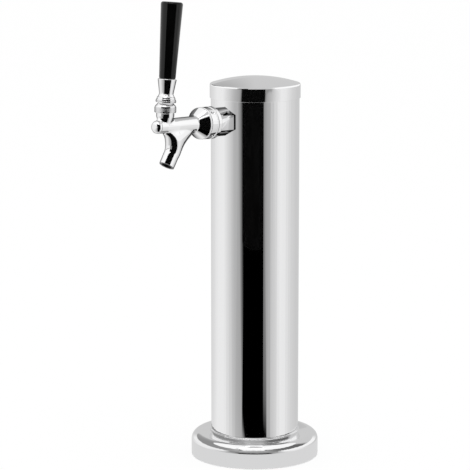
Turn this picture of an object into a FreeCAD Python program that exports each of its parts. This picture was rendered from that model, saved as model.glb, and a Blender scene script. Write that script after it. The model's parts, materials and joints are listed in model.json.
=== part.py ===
"""Single-faucet beer tower: 3 inch column on a round base, shank, faucet and tap handle.

The base's centre is the origin and the counter is z = 0. The column stands along +Z and the
faucet points along -Y. The tap is drawn level and then raised by RISE where it leaves the
column. In its level frame, u runs from the column's axis towards the faucet's nose.
"""
import FreeCAD, Part
import math
import os

# Driving dimensions, mm and degrees. Column, base and cap
COLUMN_R = 38.1
COLUMN_WALL = 1.5
COLUMN_TOP = 324.0
BASE_R = 55.5
BASE_WALL = 1.5
BASE_RIM = 21.4
BASE_SHOULDER = 6.8
BASE_DISH = 18.2
NECK_R = 37.5
NECK_TOP = 21.1
BEAD_R = 39.1
BEAD_TOP = 22.8
BEAD_ROUNDING = 0.7
PLATE_BOTTOM = 2.0
PLATE_TOP = 6.0
HUB_TOP = 40.0
HUB_WALL = 2.0
LINE_HOLE_R = 30.0
BOLT_CIRCLE_R = 44.45
BOLT_HOLE_R = 2.5
BOLT_COUNT = 4
SLEEVE_R = 34.0
SLEEVE_BORE_R = 18.0
SLEEVE_TOP = 280.0
CAP_R = 39.0
CAP_SKIRT_BOTTOM = 314.7
CAP_PLUG_BOTTOM = 312.5
CAP_RIM = 327.2
CAP_EDGE = 1.4
CAP_APEX = 332.9
CAP_WALL = 2.0
SLIDE_GAP = 0.3
FIT_GAP = 0.05
EDGE = 0.5
FINE_EDGE = 0.3
NUT_CHAMFER = 0.08
CLOSED = 1e-6

# Shank, its collar and its fastenings
TAP_Z = 297.6
RISE = 2.1
STEM_R = 7.9
STEM_END = 16.0
COLLAR_CORNER_R = 12.2
COLLAR_ROOT = 26.0
COLLAR_END = 55.0
FLANGE_R = 13.7
FLANGE_END = 60.3
FLANGE_CHAMFER = 1.5
SPIGOT_R = 9.2
SPIGOT_END = 64.6
SNAP_GROOVE = 63.0
SNAP_GROOVE_WIDTH = 0.8
SNAP_GROOVE_R = 8.7
SNAP_RING_R = 10.6
SNAP_RING_GAP = 3.0
SHANK_BORE_R = 3.2
CHAMBER_R = 5.6
CHAMBER_START = 51.4
SADDLE_R = 12.0
WASHER_FACE = 33.2
SHANK_NUT_CORNER_R = 12.7
SHANK_NUT_END = 26.6
TAIL_NUT_CORNER_R = 12.0
TAIL_NUT_START = 22.6
TAIL_NUT_END = 11.6
TAIL_NUT_LIP = 1.6
ELBOW_FLANGE_R = 7.4
TAIL_WASHER_FACE = 15.0
ELBOW_BEND_R = 8.0
TAIL_R = 3.6
TAIL_BORE_R = 2.4
TAIL_CHAMFER = 0.8
TAIL_END = 268.0

# Coupling nut and faucet
NUT_START = 61.3
NUT_END = 68.2
NUT_R = 13.5
NUT_LIP = 62.3
THREAD_R = 11.25
SPANNER_HOLES = 4
SPANNER_HOLE_R = 1.4
SPANNER_HOLE_U = 63.4
SPANNER_HOLE_DEPTH = 1.5
FAUCET_START = 65.6
SHOULDER_START = 69.2
SHOULDER_END = 70.1
SHOULDER_R = 13.35
SHOULDER_FOOT = 3.5
BARREL_START = 77.8
BARREL_R = 6.75
TAPER_START = 100.0
TAPER_R = 6.45
NOSE_START = 113.0
TAPER_SWEEP = 20.0
NOSE_R = 5.5
NOSE_END = 120.3
PLUG_START = 116.0
PLUG_HEAD_R = 5.3
PLUG_END = 124.5
PLUG_ROUNDING = 3.4
PIN_R = 1.6
PIN_END = 122.5
SEAT_U = 71.0
SEAT_R = 3.4
SEAT_LENGTH = 2.0
SEAT_WASHER_R = 4.9
VALVE_BORE_R = 4.6
SHAFT_START = 65.6
SHAFT_THREAD_R = 1.9
SHAFT_NUT_CORNER_R = 3.6
HEAD_START = 67.5
HEAD_R = 4.7
HEAD_END = 69.0
SHAFT_R = 2.0
BLOCK_R = 4.3
BLOCK_FRONT = 3.2
BLOCK_BACK = 4.4
BLOCK_TOP = 2.2
BLOCK_SLOT_FLOOR = 3.2
SPOUT_BORE_R = 4.4
SPOUT_STRAIGHT = 9.6
SPOUT_END_R = 6.45
SPOUT_BLEND = 3.0
NECK_BLEND = 2.5
NECK_SWEEP = 4.0
NECK_WAIST_R = 5.1
NECK_WAIST = 2.5
NECK_FLARE = 8.2
SEAM_SPLIT = 298.6
# Spout sections: u, z, forward tilt, half width along the faucet, half width across it
SPOUT = [(95.2, 295.4, 0, 20.0, 5.6),
         (96.3, 290.2, 2, 16.0, 6.9),
         (99.5, 284.4, 15, 9.8, 7.3),
         (101.2, 278.6, 25, 7.3, 7.0),
         (103.9, 273.0, 31, 6.55, 6.55)]

# Lever and handle, in distances from the ball's centre
PIVOT_U = 111.7
PIVOT_Z = 311.6
LEAN = 3.5
BALL_R = 5.5
SOCKET_R = 5.75
SOCKET_BOTTOM = -5.1
SEAT_RING_TOP = -1.9
WASHER_BOTTOM = 2.1
WASHER_TOP = 4.7
BALL_SEAT_BORE_R = 4.6
BALL_WASHER_BORE_R = 4.8
TAP_NECK_R = 7.45
NECK_SHOULDER = -2.8
NECK_THREAD_R = 7.15
NECK_THREAD_TOP = 0.9
BONNET_R = 9.0
BONNET_BOTTOM = -2.35
BAND_TOP = 2.6
CONE_TOP = 4.5
CONE_TOP_R = 7.1
LEVER_SLOT = 5.6
BONNET_SLOT_FRONT = 6.6
BONNET_SLOT_BACK = 3.6
FINGER_SLOT_FRONT = 3.7
FINGER_SLOT_BACK = 5.7
FINGER_SLOT_FLOOR = 1.5
COLLAR_SWEEP_R = 10.3
LEVER_COLLAR_R = 8.45
LEVER_COLLAR_TOP_R = 7.6
LEVER_COLLAR_ROUNDING = 0.7
LEVER_COLLAR_STEP = 8.4
LEVER_STEM_R = 2.5
STUD_R = 4.4
STUD_START = 9.7
STUD_END = 24.0
STUD_CHAMFER = 0.8
FINGER_ROOT_R = 2.4
FINGER_END_R = 1.2
FINGER_TIP_R = 2.3
FERRULE_START = 10.3
FERRULE_FOOT_R = 6.15
FERRULE_FOOT = 2.2
FERRULE_R_LOW = 5.85
FERRULE_R_HIGH = 7.85
FERRULE_END = 25.1
FERRULE_BORE_R = 5.55
GRIP_SPIGOT_R = 5.45
GRIP_SPIGOT = 24.2
GRIP_FOOT = 1.3
GRIP_CROWN = 2.0
GRIP_R_LOW = 6.8
GRIP_R_HIGH = 9.2
GRIP_END = 88.3

COLUMN_BORE_R = COLUMN_R - COLUMN_WALL
UP = FreeCAD.Vector(0, 0, 1)
OUT = FreeCAD.Vector(0, -1, 0)
DOWN = FreeCAD.Vector(0, 0, -1)
ACROSS = FreeCAD.Vector(1, 0, 0)


def at(u, z):
    """The point on the mid-plane at distance u from the column's axis and height z."""
    return FreeCAD.Vector(0, -u, z)


TAP_AXIS = at(0, TAP_Z)
TAP_FRAME = FreeCAD.Placement(FreeCAD.Vector(), FreeCAD.Rotation(ACROSS, -RISE), at(COLUMN_R, TAP_Z))
PIVOT = at(PIVOT_U, PIVOT_Z)
LEVER_UP = FreeCAD.Vector(0, math.sin(math.radians(LEAN)), math.cos(math.radians(LEAN)))
TIP_DROP = (PIVOT_Z - TAP_Z) / math.cos(math.radians(LEAN))
TIP_U = PIVOT_U + TIP_DROP * math.sin(math.radians(LEAN))


def place(shape, base, direction):
    """Turn a shape made along +Z to lie along direction, and move its origin to base."""
    placed = shape.copy()
    placed.Placement = FreeCAD.Placement(base, FreeCAD.Rotation(UP, direction)).multiply(shape.Placement)
    return placed


def raised(shape):
    """Take a shape from the tap's level frame to where the tap really sits."""
    lifted = shape.copy()
    lifted.Placement = TAP_FRAME.multiply(shape.Placement)
    return lifted


def profile_edges(corners):
    """Lines through (radius, height, fillet) corners, with each filleted corner as an arc."""
    points = [FreeCAD.Vector(r, 0, h) for r, h, fillet in corners]
    arcs = []
    starts = []
    ends = []
    for i, corner in enumerate(points):
        fillet = corners[i][2]
        if fillet == 0:
            starts.append(corner)
            ends.append(corner)
            arcs.append(None)
            continue
        back = (points[i - 1] - corner).normalize()
        ahead = (points[(i + 1) % len(points)] - corner).normalize()
        half = back.getAngle(ahead) / 2
        reach = fillet / math.tan(half)
        middle = (back + ahead).normalize()
        tip = corner + middle * (fillet / math.sin(half) - fillet)
        starts.append(corner + back * reach)
        ends.append(corner + ahead * reach)
        arcs.append(Part.Arc(starts[-1], tip, ends[-1]).toShape())
    outline = []
    for i, arc in enumerate(arcs):
        if arc is not None:
            outline.append(arc)
        following = starts[(i + 1) % len(points)]
        if ends[i].distanceToPoint(following) > CLOSED:
            outline.append(Part.makeLine(ends[i], following))
    return outline


def turned(corners, base=FreeCAD.Vector(), direction=UP):
    """A body of revolution from (radius, height[, fillet]) corners of its half section."""
    full = [corner if len(corner) == 3 else (*corner, 0) for corner in corners]
    face = Part.Face(Part.Wire(profile_edges(full)))
    return place(face.revolve(FreeCAD.Vector(), UP, 360), base, direction)


def rod(radius, low, high, base=FreeCAD.Vector(), direction=UP):
    """A plain cylinder from low to high along direction."""
    return place(Part.makeCylinder(radius, high - low, FreeCAD.Vector(0, 0, low)), base, direction)


def ring(outer_r, inner_r, low, high, base=FreeCAD.Vector(), direction=UP):
    """A plain washer or tube from low to high along direction."""
    return rod(outer_r, low, high, base, direction).cut(rod(inner_r, low, high, base, direction))


def hex_bar(corner_r, low, high, base, direction):
    """A hexagonal bar from low to high, with one corner straight up."""
    points = []
    for i in range(7):
        angle = math.radians(60 * i)
        points.append(FreeCAD.Vector(corner_r * math.cos(angle), corner_r * math.sin(angle), low))
    face = Part.Face(Part.makePolygon(points))
    bar = place(face.extrude(FreeCAD.Vector(0, 0, high - low)), base, direction)
    bar.rotate(base, direction, 90)
    return bar


def hex_nut(corner_r, low, high, bore_r, base, direction):
    """A hexagonal nut whose corners are turned back at both ends."""
    chamfer = corner_r * NUT_CHAMFER
    cone = turned([(0, low), (corner_r - chamfer, low), (corner_r, low + chamfer / 2),
                   (corner_r, high - chamfer / 2), (corner_r - chamfer, high), (0, high)], base, direction)
    blank = hex_bar(corner_r, low, high, base, direction).common(cone)
    return blank.cut(rod(bore_r, low, high, base, direction))


def bolt_holes(low, high):
    """The cylinders of the base's four tapped holes."""
    holes = []
    for i in range(BOLT_COUNT):
        angle = math.radians(45 + 360 / BOLT_COUNT * i)
        centre = FreeCAD.Vector(BOLT_CIRCLE_R * math.cos(angle), BOLT_CIRCLE_R * math.sin(angle), 0)
        holes.append(rod(BOLT_HOLE_R, low, high, centre))
    return holes


def column_bar(radius):
    """A solid bar in the column's place, as it lies in the tap's level frame."""
    bar = rod(radius, 0, COLUMN_TOP)
    bar.Placement = TAP_FRAME.inverse().multiply(bar.Placement)
    return bar


def base_shell():
    """Spun base: wall, broad shoulder, slight dish, neck, and the bead the column stands on."""
    inner_r = BASE_R - BASE_WALL
    bore_r = COLUMN_BORE_R + SLIDE_GAP / 2
    return turned([(BASE_R, 0), (BASE_R, BASE_RIM, BASE_SHOULDER), (NECK_R, BASE_DISH, FINE_EDGE),
                   (NECK_R, NECK_TOP, FINE_EDGE), (BEAD_R, NECK_TOP, BEAD_ROUNDING),
                   (BEAD_R, BEAD_TOP, BEAD_ROUNDING),
                   (bore_r, BEAD_TOP), (bore_r, BASE_DISH - BASE_WALL),
                   (inner_r, BASE_RIM - BASE_WALL, BASE_SHOULDER - BASE_WALL), (inner_r, 0)])


def mounting_plate():
    """Steel plate with a hub inside the column, four tapped holes and the line's hole."""
    plate_r = BASE_R - BASE_WALL - SLIDE_GAP
    hub_r = COLUMN_BORE_R - FIT_GAP
    plate = turned([(LINE_HOLE_R, PLATE_BOTTOM), (plate_r, PLATE_BOTTOM), (plate_r, PLATE_TOP),
                    (hub_r, PLATE_TOP), (hub_r, HUB_TOP), (hub_r - HUB_WALL, HUB_TOP),
                    (hub_r - HUB_WALL, PLATE_TOP), (LINE_HOLE_R, PLATE_TOP)])
    return plate.cut(bolt_holes(0, PLATE_TOP))


def base_gasket():
    """Rubber ring between the plate and the counter."""
    gasket = ring(BASE_R - BASE_WALL - SLIDE_GAP, LINE_HOLE_R, 0, PLATE_BOTTOM)
    return gasket.cut(bolt_holes(0, PLATE_BOTTOM))


def insulation_sleeve():
    """Foam sleeve that stands on the plate inside the hub and the column."""
    return ring(SLEEVE_R, SLEEVE_BORE_R, PLATE_TOP, SLEEVE_TOP)


def column_tube():
    """Column with one hole for the shank's stem."""
    hole = raised(rod(STEM_R + SLIDE_GAP, WASHER_FACE, COLLAR_END, TAP_AXIS, OUT))
    return ring(COLUMN_R, COLUMN_BORE_R, BEAD_TOP, COLUMN_TOP).cut(hole)


def top_cap():
    """Domed cap: a skirt outside the column, a ledge on its end and a plug inside it."""
    plug_r = COLUMN_BORE_R - SLIDE_GAP
    hollow_r = plug_r - CAP_WALL
    rim_r = CAP_R - CAP_EDGE
    rise = CAP_APEX - CAP_RIM
    ball_r = (rim_r ** 2 + rise ** 2) / (2 * rise)
    ball_centre = at(0, CAP_APEX - ball_r)
    ledge = CAP_RIM - CAP_WALL
    outer = turned([(0, CAP_SKIRT_BOTTOM), (CAP_R, CAP_SKIRT_BOTTOM, FINE_EDGE),
                    (CAP_R, CAP_RIM, CAP_EDGE), (0, CAP_RIM)])
    crown = Part.makeSphere(ball_r, ball_centre).common(rod(rim_r, ledge, CAP_APEX))
    plug = rod(plug_r, CAP_PLUG_BOTTOM, ledge)
    groove = ring(COLUMN_R + SLIDE_GAP, plug_r, 0, COLUMN_TOP)
    under = Part.makeSphere(ball_r - CAP_WALL, ball_centre).common(rod(hollow_r, ledge, CAP_APEX))
    hollow = rod(hollow_r, 0, ledge).fuse(under)
    return outer.fuse([crown, plug]).cut(groove).cut(hollow).removeSplitter()


def shank_body():
    """Hexagonal collar cut to the column's curve, with its flange, spigot, stem and bore."""
    collar = hex_bar(COLLAR_CORNER_R, COLLAR_ROOT, COLLAR_END, TAP_AXIS, OUT).cut(column_bar(COLUMN_R))
    flange = turned([(0, COLLAR_END), (FLANGE_R - FLANGE_CHAMFER, COLLAR_END),
                     (FLANGE_R, COLLAR_END + FLANGE_CHAMFER, EDGE), (FLANGE_R, FLANGE_END, EDGE),
                     (SPIGOT_R, FLANGE_END), (SPIGOT_R, SPIGOT_END), (0, SPIGOT_END)], TAP_AXIS, OUT)
    stem = rod(STEM_R, STEM_END, COLLAR_END, TAP_AXIS, OUT)
    bore = rod(SHANK_BORE_R, STEM_END, SPIGOT_END, TAP_AXIS, OUT)
    cone_start = CHAMBER_START - (CHAMBER_R - SHANK_BORE_R)
    chamber = turned([(0, cone_start), (SHANK_BORE_R, cone_start), (CHAMBER_R, CHAMBER_START),
                      (CHAMBER_R, SPIGOT_END), (0, SPIGOT_END)], TAP_AXIS, OUT)
    groove = ring(SPIGOT_R, SNAP_GROOVE_R, SNAP_GROOVE, SNAP_GROOVE + SNAP_GROOVE_WIDTH, TAP_AXIS, OUT)
    return collar.fuse([flange, stem]).cut([bore, chamber, groove])


def saddle_washer():
    """Washer with one face curved to the column's bore and a flat one for the nut."""
    blank = ring(SADDLE_R, STEM_R + FIT_GAP, WASHER_FACE, COLUMN_R, TAP_AXIS, OUT)
    return blank.common(column_bar(COLUMN_BORE_R))


def shank_nut():
    """Nut that draws the shank's collar against the column."""
    return hex_nut(SHANK_NUT_CORNER_R, SHANK_NUT_END, WASHER_FACE, STEM_R + FIT_GAP, TAP_AXIS, OUT)


def tail_nut():
    """Nut on the stem's end that holds the elbow's flange."""
    nut = hex_nut(TAIL_NUT_CORNER_R, TAIL_NUT_END, TAIL_NUT_START, TAIL_R + EDGE, TAP_AXIS, OUT)
    thread = rod(STEM_R + FIT_GAP, TAIL_NUT_END + TAIL_NUT_LIP, TAIL_NUT_START, TAP_AXIS, OUT)
    return nut.cut(thread)


def tail_washer():
    """Sealing washer between the stem's end and the elbow."""
    return ring(ELBOW_FLANGE_R, SHANK_BORE_R, TAIL_WASHER_FACE, STEM_END, TAP_AXIS, OUT)


def elbow_run(radius, start, end):
    """A round bar from u = start, turned down the column's axis to the height end."""
    centre = at(ELBOW_BEND_R, TAP_Z)
    disc = Part.Face(Part.Wire(Part.Circle(centre, OUT, radius).toShape()))
    corner = disc.revolve(centre + DOWN * ELBOW_BEND_R, -ACROSS, 90)
    inlet = rod(radius, ELBOW_BEND_R, start, TAP_AXIS, OUT)
    return corner.fuse([inlet, rod(radius, end, TAP_Z - ELBOW_BEND_R)])


def tail_elbow():
    """Elbow with a flange inside the nut and a plain hose tail pointing down the column."""
    flange_start = TAIL_NUT_END + TAIL_NUT_LIP + FIT_GAP
    flange = rod(ELBOW_FLANGE_R, flange_start, TAIL_WASHER_FACE, TAP_AXIS, OUT)
    chamfer = turned([(TAIL_R, TAIL_END), (TAIL_R, TAIL_END + TAIL_CHAMFER),
                      (TAIL_R - TAIL_CHAMFER, TAIL_END)])
    body = elbow_run(TAIL_R, TAIL_WASHER_FACE, TAIL_END).fuse(flange)
    return body.cut([elbow_run(TAIL_BORE_R, TAIL_WASHER_FACE, TAIL_END), chamfer])


def coupling_nut():
    """Round nut that turns behind its lip on the shank and draws the faucet in by its thread."""
    thread_r = THREAD_R + FIT_GAP
    lip_r = SPIGOT_R + FIT_GAP
    nut = turned([(lip_r, NUT_START), (NUT_R, NUT_START, EDGE), (NUT_R, NUT_END, EDGE),
                  (thread_r, NUT_END), (thread_r, NUT_LIP), (lip_r, NUT_LIP)], TAP_AXIS, OUT)
    holes = []
    for i in range(SPANNER_HOLES):
        hole = rod(SPANNER_HOLE_R, NUT_R - SPANNER_HOLE_DEPTH, NUT_R, at(SPANNER_HOLE_U, TAP_Z))
        hole.rotate(TAP_AXIS, OUT, 45 + 360 / SPANNER_HOLES * i)
        holes.append(hole)
    return nut.cut(holes)


def coupling_gasket():
    """Fibre washer between the shank's spigot and the faucet."""
    return ring(SPIGOT_R, CHAMBER_R, SPIGOT_END, FAUCET_START, TAP_AXIS, OUT)


def snap_ring():
    """Split ring in the spigot's groove that keeps the nut on the shank."""
    far_face = SNAP_GROOVE + SNAP_GROOVE_WIDTH
    band = ring(SNAP_RING_R, SNAP_GROOVE_R + FIT_GAP, SNAP_GROOVE, far_face, TAP_AXIS, OUT)
    corner = at(far_face, TAP_Z - SNAP_RING_R) - ACROSS * (SNAP_RING_GAP / 2)
    return band.cut(Part.makeBox(SNAP_RING_GAP, SNAP_GROOVE_WIDTH, SNAP_RING_R, corner))


def friction_washer():
    """Nylon washer between the split ring and the nut's lip."""
    return ring(THREAD_R - FIT_GAP, SPIGOT_R + FIT_GAP, NUT_LIP + FIT_GAP, SNAP_GROOVE - FIT_GAP,
                TAP_AXIS, OUT)


def oval(u, z, tilt, half_u, half_x):
    """An ellipse round the spout's centre line, its normal tilted forward from straight down."""
    squash = FreeCAD.Matrix()
    squash.scale(half_u, half_x, 1)
    outline = Part.Circle().toShape().transformGeometry(squash)
    along = FreeCAD.Vector(0, -math.cos(math.radians(tilt)), math.sin(math.radians(tilt)))
    facing = FreeCAD.Rotation(along, ACROSS, along.cross(ACROSS), "XYZ")
    outline.Placement = FreeCAD.Placement(at(u, z), facing)
    return Part.Wire(outline)


def spout_straight():
    """The start of the spout's straight end and its direction."""
    u, z, tilt = SPOUT[-1][:3]
    direction = FreeCAD.Vector(0, -math.sin(math.radians(tilt)), -math.cos(math.radians(tilt)))
    return at(u, z), direction


def seams(body, low, high):
    """The curved seam edges of body that lie between the heights low and high."""
    found = []
    for edge in body.Edges:
        box = edge.BoundBox
        if type(edge.Curve) is Part.BSplineCurve and box.ZMin > low and box.ZMax < high:
            found.append(edge)
    return found


def faucet_outside():
    """Bell shoulder, slim barrel and nose, with the spout and neck blended into them."""
    barrel = turned([(0, FAUCET_START), (THREAD_R, FAUCET_START, FINE_EDGE), (THREAD_R, SHOULDER_START),
                     (SHOULDER_R, SHOULDER_START, FINE_EDGE), (SHOULDER_R, SHOULDER_END, EDGE),
                     (BARREL_R, BARREL_START, SHOULDER_FOOT), (TAPER_R, TAPER_START, TAPER_SWEEP),
                     (NOSE_R, NOSE_START, TAPER_SWEEP), (NOSE_R, NOSE_END, FINE_EDGE), (0, NOSE_END)],
                    TAP_AXIS, OUT)
    spout = Part.makeLoft([oval(*section) for section in SPOUT], True)
    body = barrel.fuse(spout).removeSplitter()
    body = body.makeFillet(SPOUT_BLEND, seams(body, SPOUT[2][1], SEAM_SPLIT))
    top = PIVOT_Z + NECK_THREAD_TOP
    shoulder = PIVOT_Z + NECK_SHOULDER
    neck = turned([(0, TAP_Z), (NECK_WAIST_R, TAP_Z), (NECK_WAIST_R, TAP_Z + NECK_WAIST, NECK_SWEEP),
                   (TAP_NECK_R, TAP_Z + NECK_FLARE, NECK_SWEEP), (TAP_NECK_R, shoulder, FINE_EDGE),
                   (NECK_THREAD_R, shoulder), (NECK_THREAD_R, top), (0, top)], at(PIVOT_U, 0))
    body = body.fuse(neck).removeSplitter()
    body = body.makeFillet(NECK_BLEND, seams(body, SEAM_SPLIT, top))
    start, direction = spout_straight()
    tip = place(Part.makeCone(SPOUT[-1][3], SPOUT_END_R, SPOUT_STRAIGHT), start, direction)
    return body.fuse(tip).removeSplitter()


def faucet_body():
    """Faucet casting with its valve bore, seat, ball socket and spout bore."""
    start, direction = spout_straight()
    bore_u, bore_z = SPOUT[1][:2]
    bore_path = [oval(*section[:3], SPOUT_BORE_R, SPOUT_BORE_R) for section in SPOUT[1:]]
    slot_corner = at(PIVOT_U + FINGER_SLOT_FRONT, TAP_Z + FINGER_SLOT_FLOOR) - ACROSS * (LEVER_SLOT / 2)
    slot_height = PIVOT_Z + SOCKET_BOTTOM - slot_corner.z
    finger_slot = Part.makeBox(LEVER_SLOT, FINGER_SLOT_FRONT + FINGER_SLOT_BACK, slot_height, slot_corner)
    cuts = [rod(CHAMBER_R, FAUCET_START, SEAT_U, TAP_AXIS, OUT),
            rod(SEAT_R, SEAT_U, SEAT_U + SEAT_LENGTH, TAP_AXIS, OUT),
            rod(VALVE_BORE_R, SEAT_U + SEAT_LENGTH, NOSE_END, TAP_AXIS, OUT),
            rod(SOCKET_R, SOCKET_BOTTOM, NECK_THREAD_TOP, PIVOT),
            finger_slot,
            Part.makeLoft(bore_path, True),
            rod(SPOUT_BORE_R, bore_z, TAP_Z, at(bore_u, 0)),
            rod(SPOUT_BORE_R, 0, SPOUT_STRAIGHT, start, direction)]
    return faucet_outside().cut(cuts)


def nose_plug():
    """Domed plug with a guide hole for the valve shaft's pin."""
    spigot_r = VALVE_BORE_R - FIT_GAP
    plug = turned([(0, PLUG_START), (spigot_r, PLUG_START), (spigot_r, NOSE_END),
                   (PLUG_HEAD_R, NOSE_END, FINE_EDGE), (PLUG_HEAD_R, PLUG_END, PLUG_ROUNDING),
                   (0, PLUG_END)], TAP_AXIS, OUT)
    return plug.cut(rod(PIN_R + FIT_GAP, PLUG_START, PIN_END + EDGE, TAP_AXIS, OUT))


def valve_shaft():
    """Valve shaft: threaded end, head, stem, slotted block for the finger and guide pin."""
    block_start = TIP_U - BLOCK_BACK
    block_end = TIP_U + BLOCK_FRONT
    shaft = turned([(0, SHAFT_START), (SHAFT_THREAD_R, SHAFT_START), (SHAFT_THREAD_R, HEAD_START),
                    (HEAD_R, HEAD_START, FINE_EDGE), (HEAD_R, HEAD_END), (SHAFT_R, HEAD_END),
                    (SHAFT_R, block_start), (BLOCK_R, block_start, FINE_EDGE), (BLOCK_R, block_end),
                    (PIN_R, block_end), (PIN_R, PIN_END), (0, PIN_END)], TAP_AXIS, OUT)
    slot_half = FINGER_TIP_R + SLIDE_GAP
    slot_corner = at(TIP_U + slot_half, TAP_Z - BLOCK_SLOT_FLOOR) - ACROSS * (LEVER_SLOT / 2)
    slot = Part.makeBox(LEVER_SLOT, 2 * slot_half, 2 * BLOCK_R, slot_corner)
    milled_corner = at(block_end, TAP_Z + BLOCK_TOP) - ACROSS * BLOCK_R
    milled_top = Part.makeBox(2 * BLOCK_R, BLOCK_BACK + BLOCK_FRONT, BLOCK_R, milled_corner)
    return shaft.cut([slot, milled_top])


def seat_washer():
    """Rubber washer that closes on the seat."""
    return ring(SEAT_WASHER_R, SHAFT_R, HEAD_END, SEAT_U - FIT_GAP, TAP_AXIS, OUT)


def shaft_nut():
    """Nut behind the valve shaft's head."""
    return hex_nut(SHAFT_NUT_CORNER_R, SHAFT_START, HEAD_START, SHAFT_THREAD_R, TAP_AXIS, OUT)


def ball_seat():
    """Lower seat of the lever's ball."""
    seat = ring(SOCKET_R - FIT_GAP, BALL_SEAT_BORE_R, SOCKET_BOTTOM, SEAT_RING_TOP, PIVOT)
    return seat.cut(Part.makeSphere(BALL_R + FIT_GAP, PIVOT))


def ball_washer():
    """Upper seat of the ball, held down by the bonnet."""
    washer = ring(SOCKET_R - FIT_GAP, BALL_WASHER_BORE_R, WASHER_BOTTOM, WASHER_TOP, PIVOT)
    return washer.cut(Part.makeSphere(BALL_R + FIT_GAP, PIVOT))


def bonnet():
    """Ring nut on the neck: band, domed top and the slot that the lever swings in."""
    skirt = turned([(0, BONNET_BOTTOM), (BONNET_R, BONNET_BOTTOM, EDGE), (BONNET_R, BAND_TOP, FINE_EDGE),
                    (CONE_TOP_R, CONE_TOP), (0, CONE_TOP)], PIVOT)
    dome = Part.makeSphere(math.hypot(CONE_TOP_R, CONE_TOP), PIVOT)
    dome = dome.common(rod(CONE_TOP_R, 0, BONNET_R, PIVOT))
    outer = skirt.fuse(dome)
    slot_corner = at(PIVOT_U + BONNET_SLOT_FRONT, PIVOT_Z) - ACROSS * (LEVER_SLOT / 2)
    slot = Part.makeBox(LEVER_SLOT, BONNET_SLOT_FRONT + BONNET_SLOT_BACK, BONNET_R, slot_corner)
    thread = rod(NECK_THREAD_R + FIT_GAP, BONNET_BOTTOM, NECK_THREAD_TOP + FIT_GAP, PIVOT)
    seat_pocket = rod(SOCKET_R, NECK_THREAD_TOP, WASHER_TOP, PIVOT)
    ball_room = Part.makeSphere(SOCKET_R, PIVOT)
    return outer.cut([thread, seat_pocket, ball_room, slot])


def tap_lever():
    """Lever in one piece: threaded stud, stem, ball and finger."""
    upper = turned([(0, 0), (LEVER_STEM_R, 0), (LEVER_STEM_R, STUD_START), (STUD_R, STUD_START),
                    (STUD_R, STUD_END - STUD_CHAMFER), (STUD_R - STUD_CHAMFER, STUD_END), (0, STUD_END)],
                   PIVOT, LEVER_UP)
    finger = turned([(0, 0), (FINGER_ROOT_R, 0), (FINGER_END_R, -TIP_DROP), (0, -TIP_DROP)], PIVOT, LEVER_UP)
    tip = Part.makeSphere(FINGER_TIP_R, at(TIP_U, TAP_Z))
    return Part.makeSphere(BALL_R, PIVOT).fuse([upper, finger, tip])


def lever_collar():
    """Stepped collar screwed on the stud, hollowed to ride over the bonnet's dome."""
    bore_r = STUD_R + FIT_GAP
    blank = turned([(bore_r, 0), (LEVER_COLLAR_R, 0),
                    (LEVER_COLLAR_R, LEVER_COLLAR_STEP, LEVER_COLLAR_ROUNDING),
                    (LEVER_COLLAR_TOP_R, LEVER_COLLAR_STEP + FINE_EDGE),
                    (LEVER_COLLAR_TOP_R, FERRULE_START, LEVER_COLLAR_ROUNDING), (bore_r, FERRULE_START)],
                   PIVOT, LEVER_UP)
    return blank.cut(Part.makeSphere(COLLAR_SWEEP_R, PIVOT))


def handle_ferrule():
    """Coned ferrule with a rounded foot, which the grip's end stands on."""
    foot = FERRULE_START + FERRULE_FOOT
    return turned([(FERRULE_BORE_R, FERRULE_START), (FERRULE_FOOT_R, FERRULE_START, EDGE),
                   (FERRULE_FOOT_R, foot, EDGE), (FERRULE_R_LOW, foot + FINE_EDGE),
                   (FERRULE_R_HIGH, FERRULE_END, EDGE), (FERRULE_BORE_R, FERRULE_END)], PIVOT, LEVER_UP)


def ferrule_insert():
    """Brass insert that screws on the lever's stud."""
    return ring(FERRULE_BORE_R - FIT_GAP / 2, STUD_R + FIT_GAP, FERRULE_START, GRIP_SPIGOT, PIVOT, LEVER_UP)


def handle_grip():
    """Tapered grip with rounded ends and a spigot in the ferrule."""
    return turned([(0, GRIP_SPIGOT), (GRIP_SPIGOT_R, GRIP_SPIGOT), (GRIP_SPIGOT_R, FERRULE_END),
                   (GRIP_R_LOW, FERRULE_END, GRIP_FOOT), (GRIP_R_HIGH, GRIP_END, GRIP_CROWN), (0, GRIP_END)],
                  PIVOT, LEVER_UP)


TOWER_PIECES = [base_shell, mounting_plate, base_gasket, insulation_sleeve, column_tube, top_cap]
TAP_PIECES = [shank_body, saddle_washer, shank_nut, tail_nut, tail_washer, tail_elbow,
              coupling_nut, coupling_gasket, snap_ring, friction_washer,
              faucet_body, nose_plug, valve_shaft, seat_washer, shaft_nut,
              ball_seat, ball_washer, bonnet, tap_lever, lever_collar,
              handle_ferrule, ferrule_insert, handle_grip]

os.makedirs("parts", exist_ok=True)
for piece in TOWER_PIECES + TAP_PIECES:
    shape = piece() if piece in TOWER_PIECES else raised(piece())
    print(piece.__name__, shape.isValid(), len(shape.Solids), round(shape.Volume, 1))
    shape.exportStep("parts/" + piece.__name__ + ".step")
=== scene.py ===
"""Beer tower: polished column and base, chromed faucet, black tap handle, in a pale studio."""
import bpy
import bmesh
import json
import math
from mathutils import Matrix, Vector

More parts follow.
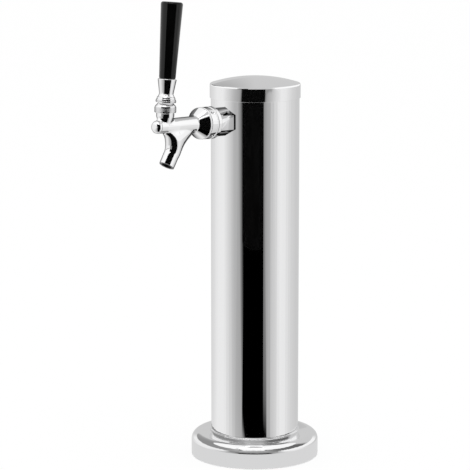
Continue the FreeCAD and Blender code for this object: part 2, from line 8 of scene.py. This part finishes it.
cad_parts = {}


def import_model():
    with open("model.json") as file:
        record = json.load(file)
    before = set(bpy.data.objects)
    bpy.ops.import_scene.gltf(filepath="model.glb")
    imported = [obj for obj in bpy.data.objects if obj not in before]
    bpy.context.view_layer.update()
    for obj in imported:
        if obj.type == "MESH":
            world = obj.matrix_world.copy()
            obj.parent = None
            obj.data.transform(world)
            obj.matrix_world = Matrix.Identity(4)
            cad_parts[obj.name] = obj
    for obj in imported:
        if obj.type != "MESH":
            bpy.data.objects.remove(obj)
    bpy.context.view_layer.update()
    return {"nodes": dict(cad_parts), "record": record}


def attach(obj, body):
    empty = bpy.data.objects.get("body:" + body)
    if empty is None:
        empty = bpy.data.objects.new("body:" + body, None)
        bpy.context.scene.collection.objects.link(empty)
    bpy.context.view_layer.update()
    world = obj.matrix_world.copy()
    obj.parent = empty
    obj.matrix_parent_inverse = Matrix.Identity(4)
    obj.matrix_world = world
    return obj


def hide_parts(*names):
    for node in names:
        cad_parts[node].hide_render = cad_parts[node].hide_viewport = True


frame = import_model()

RECORD = frame["record"]
MM = 0.001
UP = Vector((0, 0, 1))

# The tap, in millimetres. It is drawn level and then raised where it leaves the column.
COLUMN_R = 38.1
TAP_Z = 297.6
RISE = math.radians(2.1)
LEAN = math.radians(3.5)
PIVOT = Vector((0, -111.7, 311.6))
LEVER_UP = Vector((0, math.sin(LEAN), math.cos(LEAN)))
JOINT = Vector((0, -COLUMN_R, TAP_Z))
RAISED = Matrix.Translation(JOINT) @ Matrix.Rotation(-RISE, 4, "X") @ Matrix.Translation(-JOINT)

# The bore of the spout, its unpolished metal painted near-black as painted shade, inwards and outwards from
# its mouth
SPOUT_OUTLET = next(mount for mount in RECORD["mounts"] if mount["name"] == "spout_outlet")
SPOUT_MOUTH = Vector(SPOUT_OUTLET["pos_m"]) / MM
SPOUT_LINE = Vector(SPOUT_OUTLET["axis"])
SPOUT_BORE_R = 4.6
SPOUT_DARK_DEPTH = 14

# The flare of the ferrule's foot, in heights over the pivot
FLARE_TOP = 12.2
FLARE_FOOT = 10.3
FLARE_FROM_R = 5.7
FLARE_R_TOP = 5.85
FLARE_R_FOOT = 7.2

# Diamond knurls: outer radius, heights over the pivot, and the radius of the metal under the band
KNURL_PITCH = 0.9
KNURL_DEPTH = 0.21
BONNET_KNURL = {"radius": 9.0, "low": -2.0, "high": 2.4, "ground_r": 8.7}
COLLAR_KNURL = {"radius": 8.45, "low": 6.2, "high": 7.9, "ground_r": 8.15}

# Camera
CAMERA_AZIMUTH = math.radians(42.0)
CAMERA_SIDE = -12.897 * MM
CAMERA_DISTANCE = 1930.405 * MM
CAMERA_HEIGHT = 543.241 * MM
CAMERA_YAW = math.radians(-0.1307)
CAMERA_PITCH = math.radians(-10.237)
LENS = 173.25
SENSOR = 36.0
TO_CAMERA_SIDE = Matrix.Rotation(CAMERA_AZIMUTH, 3, "Z")

# Brightness round the tower, as it shows in metal that gives back METAL_SHARE of it, by the angle in degrees
# from the camera's side
NEAR_FLOOR = [(-180, 0.83), (180, 0.83)]
FLOOR = [(-180, 0.78), (-168, 0.80), (-132, 0.86), (-112, 0.91), (-90, 0.91), (-71, 0.81), (-55, 0.70),
         (-42, 0.63), (-38, 0.57), (-34, 0.0), (23, 0.0), (27, 0.56), (31, 0.65), (40, 0.72),
         (55, 0.83), (70, 0.91), (83, 0.90), (108, 0.82), (135, 0.78), (180, 0.78)]
LOW_WALL = [(-180, 0.78), (-160, 0.78), (-145, 0.92), (-60, 0.92), (-45, 0.55), (40, 0.55), (55, 0.95),
            (140, 0.95), (155, 0.78), (180, 0.78)]
HIGH_WALL = [(-180, 0.78), (-165, 0.60), (-140, 0.55), (-60, 0.55), (-20, 0.70), (20, 0.65), (45, 0.42),
             (105, 0.38), (120, 0.78), (180, 0.78)]
METAL_SHARE = 0.92

# The studio, in metres
BASE_EDGE_R = 0.056
NEAR_FLOOR_R = 0.108
WHITE_FLOOR_R = 6.0
STUDIO_R = 3.2
FLOOR_CARD_Z = 0.0004
WALL_FOOT = 0.01
LOW_WALL_TOP = 1.1
STUDIO_TOP = 3.6
STUDIO_STEPS = 96
FLOOR_GLOW = 0.92

# Places as the camera sees them, in millimetres from the column's axis: sideways, out to the camera, up
STUDIO_CENTRE = (12.5, 29.0, 0)
BLACK_CARDS = [((-122, 200), (83, 200), 158, 330), ((-193, 200), (83, 200), 330, 438)]
WHITE_CARDS = [((-193, -120), (-193, 200), 326, 540), ((110, -230), (110, 180), 330, 640)]
ONE_SIDED_CARDS = [("cap_card", 0.76, [(-60, -60, 430), (60, -60, 430), (60, 150, 430), (-60, 150, 430)]),
                   ("base_card", 0.98, [(-75, 97, 150), (60, 97, 150), (60, 205, 150), (-75, 205, 150)]),
                   ("dome_card", 0.78, [(90, 92, 327), (-24, 92, 327), (-24, 92, 440), (90, 92, 440)])]
CARD_GLOW = 1.05
PAPER_MOTTLE = 0.02

# The overhead lamp, in metres and watts
LAMP_PLACE = Vector((0.5, -0.6, 2.4))
LAMP_AIM = Vector((0, 0, 0.2))
LAMP_SIZE = 1.6
LAMP_POWER = 6.0

# Finishes. Grain is in noise cells per metre along X, Y and Z, and most of a noise lies in its span.
EVEN_GRAIN = (300, 300, 300)
LINES_ROUND = (40, 40, 900)
LINES_UPRIGHT = (900, 900, 120)
NOISE_SPAN = (0.3, 0.7)
SMEAR_SHARE = 0.7
MIRROR_GRAIN_DEPTH = 0.02 * MM
SATIN_GRAIN_DEPTH = 0.03 * MM
SATIN_DARK = 0.85
SATIN_SPREAD = 0.08

# Meshes
MERGE_DISTANCE = 0.002 * MM
SHARP_EDGE = math.radians(30)


def linear(value):
    """The linear light of a display value."""
    return value / 12.92 if value <= 0.04045 else ((value + 0.055) / 1.055) ** 2.4


def as_seen(sideways, out, up):
    """The place in metres of a point given as the camera sees it."""
    return TO_CAMERA_SIDE @ Vector((sideways, -out, up)) * MM


def spun(bm, outline, steps, closed=False):
    """Spins an outline of radii and heights a full turn about +Z."""
    verts = [bm.verts.new((radius, 0, height)) for radius, height in outline]
    edges = [bm.edges.new(ends) for ends in zip(verts, verts[1:])]
    if closed:
        edges.append(bm.edges.new((verts[-1], verts[0])))
    bmesh.ops.spin(bm, geom=verts + edges, cent=(0, 0, 0), axis=(0, 0, 1), dvec=(0, 0, 0),
                   angle=2 * math.pi, steps=steps, use_merge=True, use_duplicate=False)


# Node helpers

class Shader:
    """A short way to add and join nodes in one material or world."""

    def __init__(self, owner):
        owner.use_nodes = True
        self.tree = owner.node_tree
        self.tree.nodes.clear()

    def node(self, kind, inputs=None, **settings):
        made = self.tree.nodes.new(kind)
        for name, value in settings.items():
            setattr(made, name, value)
        for name, value in (inputs or {}).items():
            if isinstance(value, bpy.types.NodeSocket):
                self.tree.links.new(value, made.inputs[name])
            else:
                made.inputs[name].default_value = value
        return made

    def math(self, operation, *values):
        return self.node("ShaderNodeMath", dict(enumerate(values)), operation=operation).outputs[0]

    def ramp(self, factor, stops):
        made = self.node("ShaderNodeValToRGB", {"Fac": factor})
        band = made.color_ramp
        while len(band.elements) < len(stops):
            band.elements.new(1.0)
        for element, (position, colour) in zip(band.elements, stops):
            element.position = position
            element.color = (colour, colour, colour, 1) if isinstance(colour, float) else (*colour, 1)
        return made.outputs["Color"]

    def mottled(self, noise, dark, light):
        return self.ramp(noise, list(zip(NOISE_SPAN, (dark, light))))

    def mixed_colour(self, share, first, second):
        """A mix of two colours. Inputs 0, 6 and 7 and output 2 are the node's sockets for colours."""
        return self.node("ShaderNodeMix", {0: share, 6: first, 7: second}, data_type="RGBA").outputs[2]

    def mixed_shader(self, share, first, second):
        return self.node("ShaderNodeMixShader", {0: share, 1: first, 2: second}).outputs[0]

    def object_coords(self, scale=(1, 1, 1)):
        place = self.node("ShaderNodeTexCoord").outputs["Object"]
        return self.node("ShaderNodeMapping", {"Vector": place, "Scale": scale}).outputs["Vector"]

    def noise(self, vector, scale, detail):
        return self.node("ShaderNodeTexNoise", {"Vector": vector, "Scale": scale,
                                                "Detail": detail}).outputs["Fac"]

    def spread(self, noise, low, high):
        return self.node("ShaderNodeMapRange", {"Value": noise, "From Min": NOISE_SPAN[0],
                                                "From Max": NOISE_SPAN[1], "To Min": low,
                                                "To Max": high}).outputs["Result"]

    def bump(self, height, strength, distance):
        return self.node("ShaderNodeBump", {"Height": height, "Strength": strength,
                                            "Distance": distance}).outputs["Normal"]

    def glow(self, colour, strength=1.0):
        return self.node("ShaderNodeEmission", {"Color": colour, "Strength": strength}).outputs[0]

    def glowing_paper(self, dark, light):
        fibre = self.noise(self.object_coords(), scale=20.0, detail=2.0)
        return self.glow(self.mottled(fibre, dark, light), CARD_GLOW)

    def finish(self, surface, output="ShaderNodeOutputMaterial"):
        self.node(output, {"Surface": surface})


def shaded(name):
    """A new material and its shader."""
    material = bpy.data.materials.new(name)
    return material, Shader(material)


def studio_grey(s, place):
    """The brightness of the studio at a place: by the angle round its centre, on floor and walls."""
    from_centre = s.node("ShaderNodeVectorMath", {0: place, 1: as_seen(*STUDIO_CENTRE)},
                         operation="SUBTRACT").outputs["Vector"]
    parts = s.node("ShaderNodeSeparateXYZ", {"Vector": from_centre}).outputs
    angle = s.math("ARCTAN2", parts["X"], s.math("MULTIPLY", parts["Y"], -1.0))
    turn = s.math("DIVIDE", s.math("SUBTRACT", angle, CAMERA_AZIMUTH), 2 * math.pi)
    # The camera's side comes to 0.5, and the place behind the tower to 0 and 1.
    round_tower = s.math("FRACT", s.math("ADD", turn, 1.5))
    greys = [s.ramp(round_tower, [((degrees + 180) / 360, linear(grey) / METAL_SHARE)
                                  for degrees, grey in stops])
             for stops in (NEAR_FLOOR, FLOOR, LOW_WALL, HIGH_WALL)]
    reach = s.node("ShaderNodeVectorMath", {0: place}, operation="LENGTH").outputs["Value"]
    beyond = [s.math("GREATER_THAN", reach, NEAR_FLOOR_R),
              s.math("GREATER_THAN", parts["Z"], WALL_FOOT),
              s.math("GREATER_THAN", parts["Z"], LOW_WALL_TOP)]
    shown = greys[0]
    for grey, passed in zip(greys[1:], beyond):
        shown = s.mixed_colour(passed, shown, grey)
    return shown


# Materials

def mirror_metal(name, colour, roughness, smear, grain, relief, edge_tint):
    """Mirror metal with faint smears and a fine grain. An edge_tint under 1 darkens it at grazing angles."""
    material, s = shaded(name)
    smears = s.math("MULTIPLY", s.noise(s.object_coords(), scale=smear, detail=3.0), SMEAR_SHARE)
    grains = s.noise(s.object_coords(grain), scale=1.0, detail=2.0)
    wear = s.math("ADD", smears, s.math("MULTIPLY", grains, 1 - SMEAR_SHARE))
    metal = s.node("ShaderNodeBsdfPrincipled", {
        "Base Color": (*colour, 1), "Metallic": 1.0, "Roughness": s.spread(wear, *roughness),
        "Specular Tint": (edge_tint, edge_tint, edge_tint, 1),
        "Normal": s.bump(grains, strength=relief, distance=MIRROR_GRAIN_DEPTH)})
    s.finish(metal.outputs["BSDF"])
    return material


def satin_metal(name, colour, roughness):
    """Turned, plated or bare metal: brushed lines over a satin surface."""
    material, s = shaded(name)
    grains = s.noise(s.object_coords(LINES_UPRIGHT), scale=1.0, detail=3.0)
    metal = s.node("ShaderNodeBsdfPrincipled", {
        "Base Color": s.mottled(grains, tuple(SATIN_DARK * part for part in colour), colour),
        "Metallic": 1.0, "Roughness": s.spread(grains, roughness - SATIN_SPREAD, roughness + SATIN_SPREAD),
        "Normal": s.bump(grains, strength=0.2, distance=SATIN_GRAIN_DEPTH)})
    s.finish(metal.outputs["BSDF"])
    return material


def moulded(name, dark, light, roughness, depth, gloss=0.5):
    """Moulded plastic, rubber or foam: slight mottle and an orange-peel surface."""
    material, s = shaded(name)
    peel = s.noise(s.object_coords(), scale=900.0, detail=2.0)
    mottle = s.noise(s.object_coords(), scale=90.0, detail=4.0)
    plastic = s.node("ShaderNodeBsdfPrincipled", {
        "Base Color": s.mottled(mottle, dark, light), "Roughness": s.spread(peel, *roughness),
        "Specular IOR Level": gloss, "Normal": s.bump(peel, strength=0.25, distance=depth)})
    s.finish(plastic.outputs["BSDF"])
    return material


POLISHED = mirror_metal("polished_stainless", (0.93, 0.93, 0.935), roughness=(0.02, 0.055), smear=30.0,
                        grain=LINES_ROUND, relief=0.05, edge_tint=1.0)
CHROME = mirror_metal("chrome_plate", (0.94, 0.94, 0.945), roughness=(0.012, 0.04), smear=60.0,
                      grain=EVEN_GRAIN, relief=0.04, edge_tint=0.0)
CAP_CHROME = mirror_metal("cap_chrome", (0.93, 0.93, 0.935), roughness=(0.02, 0.06), smear=40.0,
                          grain=EVEN_GRAIN, relief=0.04, edge_tint=1.0)
KNURLED = mirror_metal("knurled_chrome", (0.74, 0.74, 0.745), roughness=(0.08, 0.14), smear=60.0,
                       grain=EVEN_GRAIN, relief=0.04, edge_tint=0.0)
ZINC = satin_metal("zinc_plated_steel", (0.62, 0.63, 0.65), roughness=0.32)
STAINLESS = satin_metal("turned_stainless", (0.72, 0.72, 0.73), roughness=0.25)
BRASS = satin_metal("turned_brass", (0.78, 0.60, 0.28), roughness=0.28)
# Unpolished metal in the spout's bore, its colour painted near-black as painted shade for the dark inside it
BORE_PAINTED_SHADE = satin_metal("bore_painted_shade", (0.012, 0.012, 0.012), roughness=0.5)
BLACK_GRIP = moulded("black_gloss_grip", dark=0.001, light=0.002, roughness=(0.06, 0.12),
                     depth=0.02 * MM, gloss=0.3)
RUBBER = moulded("black_rubber", dark=0.02, light=0.035, roughness=(0.55, 0.75), depth=0.1 * MM)
NYLON = moulded("white_nylon", dark=(0.78, 0.77, 0.72), light=(0.85, 0.84, 0.80), roughness=(0.35, 0.5),
                depth=0.05 * MM)
FOAM = moulded("grey_foam", dark=(0.10, 0.10, 0.11), light=(0.20, 0.20, 0.21), roughness=(0.8, 0.95),
               depth=0.6 * MM)
SLOT_MATERIALS = {"polished_steel": POLISHED, "chrome_plate": CHROME, "black_grip": BLACK_GRIP,
                  "zinc_steel": ZINC, "stainless": STAINLESS, "brass": BRASS, "rubber": RUBBER,
                  "nylon": NYLON, "foam": FOAM}
NODE_SLOT = {part["node"]: part["material_slot"] for part in RECORD["subparts"]}
NODE_MATERIAL = {node: SLOT_MATERIALS[slot] for node, slot in NODE_SLOT.items()}
NODE_MATERIAL["top_cap"] = CAP_CHROME
NODE_BODY = {node: body for body, nodes in RECORD["behaviour"]["bodies"].items() for node in nodes}

# The nodes that show in the others' metal. The rest would streak the column with thin reflections.
SEEN_IN_METAL = ("column_tube", "base_shell", "mounting_plate", "base_gasket", "lever_collar")


# Stage

def camera():
    """The camera at the height, side and tilt that frame the tower."""
    view = Vector((math.sin(CAMERA_YAW) * math.cos(CAMERA_PITCH),
                   math.cos(CAMERA_YAW) * math.cos(CAMERA_PITCH), math.sin(CAMERA_PITCH)))
    data = bpy.data.cameras.new("camera")
    data.lens = LENS
    data.sensor_width = SENSOR
    data.clip_start = 0.05
    data.clip_end = 50
    made = bpy.data.objects.new("camera", data)
    bpy.context.scene.collection.objects.link(made)
    made.location = TO_CAMERA_SIDE @ Vector((CAMERA_SIDE, -CAMERA_DISTANCE, CAMERA_HEIGHT))
    made.rotation_euler = (TO_CAMERA_SIDE @ view).to_track_quat("-Z", "Y").to_euler()
    bpy.context.scene.camera = made


def world():
    """White all round."""
    made = bpy.data.worlds.new("studio")
    bpy.context.scene.world = made
    s = Shader(made)
    back = s.node("ShaderNodeBackground", {"Color": (1, 1, 1, 1), "Strength": 1.0})
    s.finish(back.outputs[0], "ShaderNodeOutputWorld")


def stage_object(name, build, material):
    """A stage mesh made by build(bm)."""
    mesh = bpy.data.meshes.new(name)
    bm = bmesh.new()
    build(bm)
    bm.to_mesh(mesh)
    bm.free()
    mesh.materials.append(material)
    made = bpy.data.objects.new(name, mesh)
    bpy.context.scene.collection.objects.link(made)
    return made


def seen_only_in_metal(made):
    """Hides a studio card from all but reflections."""
    made.visible_camera = False
    made.visible_diffuse = False
    made.visible_shadow = False
    made.visible_transmission = False


def card(name, corners, material):
    """A flat reflection card. Its front is the side from which its corners run anticlockwise."""
    def sheet(bm):
        bm.faces.new([bm.verts.new(as_seen(*corner)) for corner in corners])
    seen_only_in_metal(stage_object(name, sheet, material))


def floor():
    """Pale floor: white to the camera, with the tower's shadow kept."""
    material, s = shaded("pale_floor")
    dust = s.noise(s.object_coords(), scale=8.0, detail=3.0)
    diffuse = s.node("ShaderNodeBsdfDiffuse", {"Color": s.mottled(dust, dark=0.95, light=0.965)}).outputs[0]
    share = s.math("MULTIPLY", s.node("ShaderNodeLightPath").outputs["Is Camera Ray"], FLOOR_GLOW)
    s.finish(s.mixed_shader(share, diffuse, s.glow((1, 1, 1, 1))))

    def disc(bm):
        bmesh.ops.create_circle(bm, cap_ends=True, segments=STUDIO_STEPS, radius=WHITE_FLOOR_R)
    stage_object("floor", disc, material)


def studio_cards():
    """Graded cards that lie and stand round the tower."""
    material, s = shaded("graded_card")
    s.finish(s.glow(studio_grey(s, s.object_coords())))

    def ring(bm):
        spun(bm, [(BASE_EDGE_R, FLOOR_CARD_Z), (STUDIO_R, FLOOR_CARD_Z), (STUDIO_R, STUDIO_TOP)],
             STUDIO_STEPS)
    seen_only_in_metal(stage_object("studio_cards", ring, material))


def tap_cards():
    """Black cards in front of the tap and white ones at its sides, for the patches in its chrome."""
    black, s = shaded("black_card")
    felt = s.mottled(s.noise(s.object_coords(), scale=40.0, detail=2.0), dark=0.002, light=0.004)
    s.finish(s.node("ShaderNodeBsdfDiffuse", {"Color": felt}).outputs[0])
    white, s = shaded("white_card")
    s.finish(s.glowing_paper(dark=0.98, light=1.0))
    for name, cards, material in (("black_card", BLACK_CARDS, black), ("white_card", WHITE_CARDS, white)):
        for i, (start, end, low, high) in enumerate(cards):
            card(f"{name}_{i}", [(*start, low), (*end, low), (*end, high), (*start, high)], material)


def one_sided_cards():
    """Cards that glow on their front alone: grey over and before the cap, white over the base's shoulder."""
    for name, grey, corners in ONE_SIDED_CARDS:
        material, s = shaded(name)
        paper = s.glowing_paper(linear(grey), linear(grey + PAPER_MOTTLE))
        clear = s.node("ShaderNodeBsdfTransparent").outputs[0]
        behind = s.node("ShaderNodeNewGeometry").outputs["Backfacing"]
        s.finish(s.mixed_shader(behind, paper, clear))
        card(name, corners, material)


def lamp():
    """A soft overhead lamp."""
    data = bpy.data.lights.new("overhead", "AREA")
    data.shape = "DISK"
    data.size = LAMP_SIZE
    data.energy = LAMP_POWER
    made = bpy.data.objects.new("overhead", data)
    bpy.context.scene.collection.objects.link(made)
    made.location = LAMP_PLACE
    made.rotation_euler = (LAMP_AIM - LAMP_PLACE).to_track_quat("-Z", "Y").to_euler()


# Pieces

def add_piece(name, bm, node, finishes=None):
    """A piece from bm, in metres, on a CAD node's body, in the finishes given or else the material of the
    node's slot.
    """
    mesh = bpy.data.meshes.new(name)
    bm.to_mesh(mesh)
    bm.free()
    for finish in finishes or [NODE_MATERIAL[node]]:
        mesh.materials.append(finish)
    for face in mesh.polygons:
        face.use_smooth = True
    mesh.set_sharp_from_angle(angle=SHARP_EDGE)
    made = bpy.data.objects.new(name, mesh)
    bpy.context.scene.collection.objects.link(made)
    even = made.modifiers.new("even_shading", "WEIGHTED_NORMAL")
    even.keep_sharp = True
    made.visible_glossy = node in SEEN_IN_METAL
    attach(made, NODE_BODY[node])
    return made


def finished(node, bm, finishes=None):
    """The piece that takes a CAD node's place, shaded smoothly over its facets."""
    made = add_piece(node + "_finished", bm, node, finishes)
    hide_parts(node)


def merged(node):
    """A copy of a CAD node's mesh with its loose faces joined."""
    bm = bmesh.new()
    bm.from_mesh(frame["nodes"][node].data)
    bmesh.ops.remove_doubles(bm, verts=bm.verts, dist=MERGE_DISTANCE)
    return bm


def along(direction):
    """The matrix that lays +Z along direction at the pivot, in the raised tap, from millimetres to metres."""
    turn = UP.rotation_difference(direction).to_matrix().to_4x4()
    return Matrix.Scale(MM, 4) @ RAISED @ Matrix.Translation(PIVOT) @ turn


def reshaped(node, place, new_radius):
    """A copy of a CAD node with the radii about place's +Z changed by new_radius(radius, height)."""
    bm = merged(node)
    bm.transform(place.inverted())
    for vert in bm.verts:
        radius = vert.co.xy.length
        if radius > 0:
            vert.co.xy *= new_radius(radius, vert.co.z) / radius
    bm.transform(place)
    return bm


def faucet():
    """The faucet's body, with the bore of its spout in unpolished metal painted near-black as painted shade.
    """
    bm = merged("faucet_body")
    for face in bm.faces:
        away = face.calc_center_median() / MM - SPOUT_MOUTH
        depth = away.dot(SPOUT_LINE)
        in_bore = (away - depth * SPOUT_LINE).length < SPOUT_BORE_R and abs(depth) < SPOUT_DARK_DEPTH
        # Faces in the bore near the mouth take the painted-shade material
        face.material_index = 1 if in_bore else 0
    finished("faucet_body", bm, [CHROME, BORE_PAINTED_SHADE])


def flared(radius, height):
    """The radius of the ferrule at a height, widened towards its foot."""
    if radius <= FLARE_FROM_R or height >= FLARE_TOP:
        return radius
    down = (FLARE_TOP - height) / (FLARE_TOP - FLARE_FOOT)
    return FLARE_R_TOP + (FLARE_R_FOOT - FLARE_R_TOP) * down


def knurl_band(radius, low, high, ground_r):
    """A closed ring of diamond knurls about +Z, its ends sunk into the metal under it."""
    steps = 2 * round(math.pi * radius / KNURL_PITCH)
    rows = 2 * round((high - low) / KNURL_PITCH)
    row_height = (high - low) / rows
    sunk_r = ground_r - KNURL_DEPTH
    valley_r = radius - KNURL_DEPTH
    outline = [(valley_r, low + row * row_height) for row in range(rows + 1)]
    band = bmesh.new()
    spun(band, [(sunk_r, low), *outline, (sunk_r, high)], steps, closed=True)
    for vert in band.verts:
        step = round(steps * math.atan2(vert.co.y, vert.co.x) / (2 * math.pi))
        row = round((vert.co.z - low) / row_height)
        if 0 < row < rows and (row + step) % 2 == 0:
            vert.co.xy *= radius / valley_r
    bmesh.ops.triangulate(band, faces=band.faces, quad_method="LONG_EDGE")
    bmesh.ops.recalc_face_normals(band, faces=band.faces)
    return band


def knurled(node, direction, radius, low, high, ground_r):
    """A CAD node turned down to ground_r where it is wider, with a diamond-knurled band round it."""
    place = along(direction)
    finished(node, reshaped(node, place, lambda reach, height: min(reach, ground_r)))
    band = knurl_band(radius, low, high, ground_r)
    band.transform(place)
    add_piece(node + "_knurl", band, node, [KNURLED])


for node, piece in frame["nodes"].items():
    piece.data.materials.clear()
    piece.data.materials.append(NODE_MATERIAL[node])
    piece.visible_glossy = node in SEEN_IN_METAL

camera()
world()
floor()
studio_cards()
tap_cards()
one_sided_cards()
lamp()
bpy.context.scene.view_settings.view_transform = "Standard"

for node in ("column_tube", "base_shell", "top_cap", "shank_body", "coupling_nut", "nose_plug", "handle_grip",
             "tap_lever"):
    finished(node, merged(node))
faucet()
finished("handle_ferrule", reshaped("handle_ferrule", along(LEVER_UP), flared))
knurled("bonnet", UP, **BONNET_KNURL)
knurled("lever_collar", LEVER_UP, **COLLAR_KNURL)
